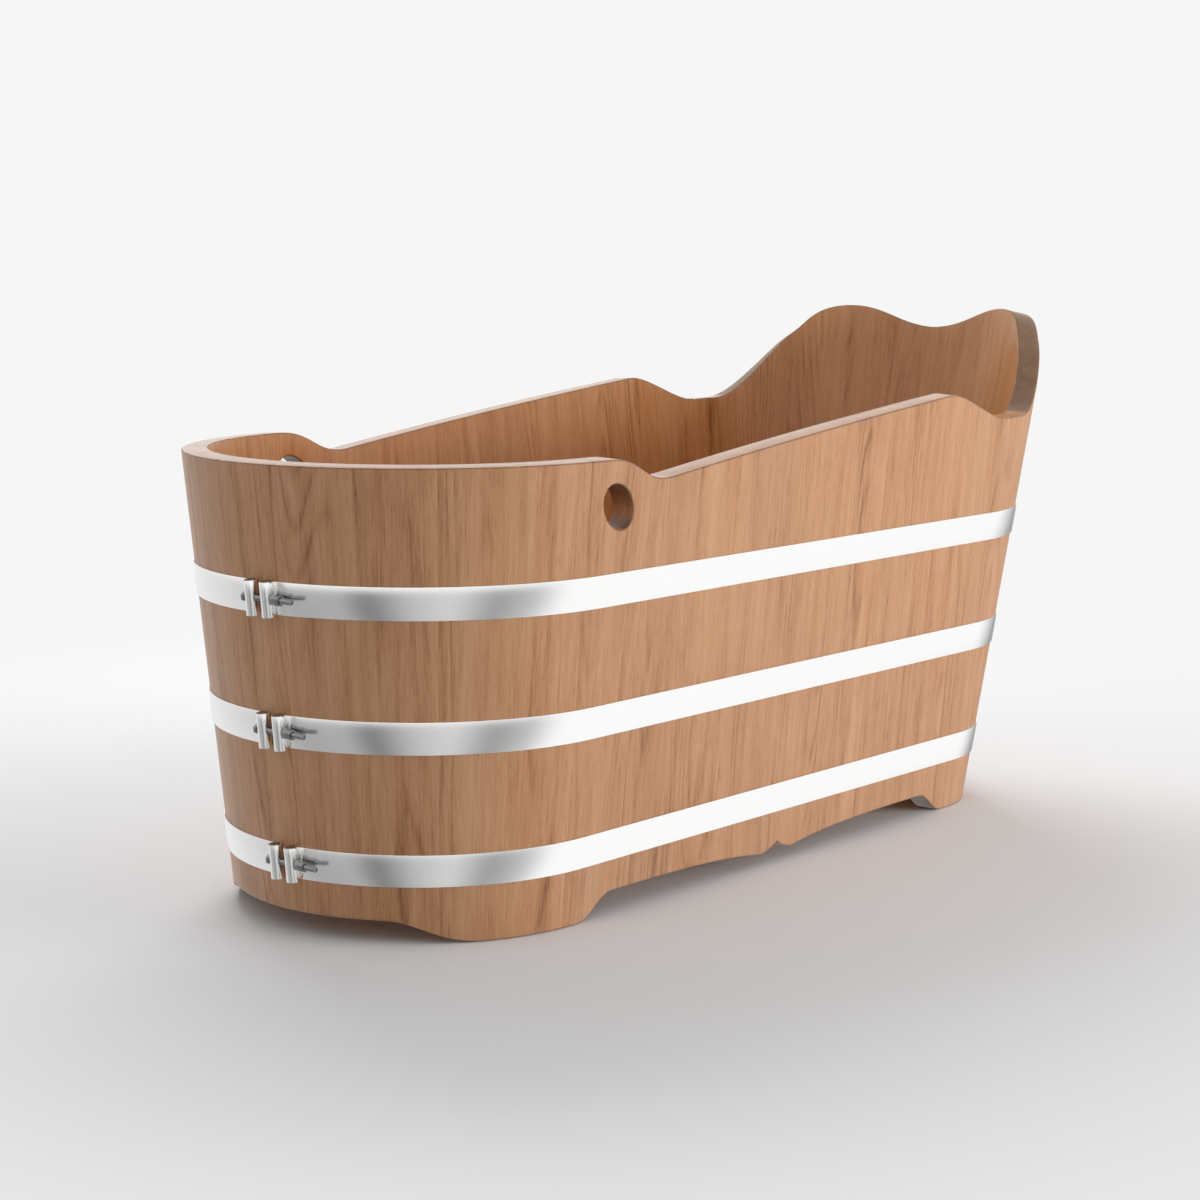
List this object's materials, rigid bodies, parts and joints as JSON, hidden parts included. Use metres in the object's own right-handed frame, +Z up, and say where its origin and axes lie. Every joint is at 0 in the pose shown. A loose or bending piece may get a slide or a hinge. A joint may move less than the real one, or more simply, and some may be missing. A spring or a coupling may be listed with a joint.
{
  "type": "free-standing wooden bathtub",
  "caption": "Free-standing slipper bathtub of upright wooden staves with a high headrest, oval hand holes, scroll-cut feet, tensioned steel hoops and a floor waste.",
  "frame": {"origin": "on the ground, under the middle of the overall length and width", "axes": "+Z up, +X towards the high headrest, -X towards the rounded foot end with the hoop clasps, Y across the tub"},
  "size_m": [1.6831, 0.6926, 0.8109],
  "materials": {
    "stave_wood": "fine-sawn and oiled, satin",
    "floor_wood": "oiled, satin",
    "stainless_steel": "brushed along the strap",
    "chromed_brass": "polished",
    "black_rubber": "matte"
  },
  "bodies": {
    "tub": {"floor_batten_foot": "floor_wood", "floor_batten_head": "floor_wood", "floor_batten_middle": "floor_wood", "floor_board_1": "floor_wood", "floor_board_2": "floor_wood", "floor_board_3": "floor_wood", "floor_board_4": "floor_wood", "floor_board_5": "floor_wood", "floor_screws": "stainless_steel", "hoop_bottom": "stainless_steel", "hoop_middle": "stainless_steel", "hoop_pins": "stainless_steel", "hoop_top": "stainless_steel", "stave_01": "stave_wood", "stave_02": "stave_wood", "stave_03": "stave_wood", "stave_04": "stave_wood", "stave_05": "stave_wood", "stave_06": "stave_wood", "stave_07": "stave_wood", "stave_08": "stave_wood", "stave_09": "stave_wood", "stave_10": "stave_wood", "stave_11": "stave_wood", "stave_12": "stave_wood", "stave_13": "stave_wood", "stave_14": "stave_wood", "stave_15": "stave_wood", "stave_16": "stave_wood", "stave_17": "stave_wood", "stave_18": "stave_wood", "stave_19": "stave_wood", "stave_20": "stave_wood", "stave_21": "stave_wood", "stave_22": "stave_wood", "stave_23": "stave_wood", "stave_24": "stave_wood", "stave_25": "stave_wood", "stave_26": "stave_wood", "stave_27": "stave_wood", "stave_28": "stave_wood", "stave_29": "stave_wood", "stave_30": "stave_wood", "stave_31": "stave_wood", "stave_32": "stave_wood", "stave_33": "stave_wood", "stave_34": "stave_wood", "tension_bolts": "stainless_steel", "waste_fitting": "chromed_brass", "waste_gasket": "black_rubber", "waste_nut": "chromed_brass", "waste_washer": "black_rubber"},
    "tension_nut_top_body": {"tension_nut_top": "stainless_steel"},
    "tension_nut_middle_body": {"tension_nut_middle": "stainless_steel"},
    "tension_nut_bottom_body": {"tension_nut_bottom": "stainless_steel"},
    "drain_cap_body": {"drain_cap": "chromed_brass", "cap_seal": "black_rubber"}
  },
  "joints": [
    {"name": "tension_nut_top_turn", "type": "hinge", "parent": "tub", "child": "tension_nut_top_body", "pos_m": [-0.82999, -0.016, 0.46831], "axis": [0, -1, 0], "continuous": true},
    {"name": "tension_nut_middle_turn", "type": "hinge", "parent": "tub", "child": "tension_nut_middle_body", "pos_m": [-0.81252, -0.016, 0.28631], "axis": [0, -1, 0], "continuous": true},
    {"name": "tension_nut_bottom_turn", "type": "hinge", "parent": "tub", "child": "tension_nut_bottom_body", "pos_m": [-0.7949, -0.016, 0.10281], "axis": [0, -1, 0], "continuous": true},
    {"name": "drain_cap_lift", "type": "slide", "parent": "tub", "child": "drain_cap_body", "axis": [0, 0, 1], "range_m": [0, 0.008]}
  ]
}
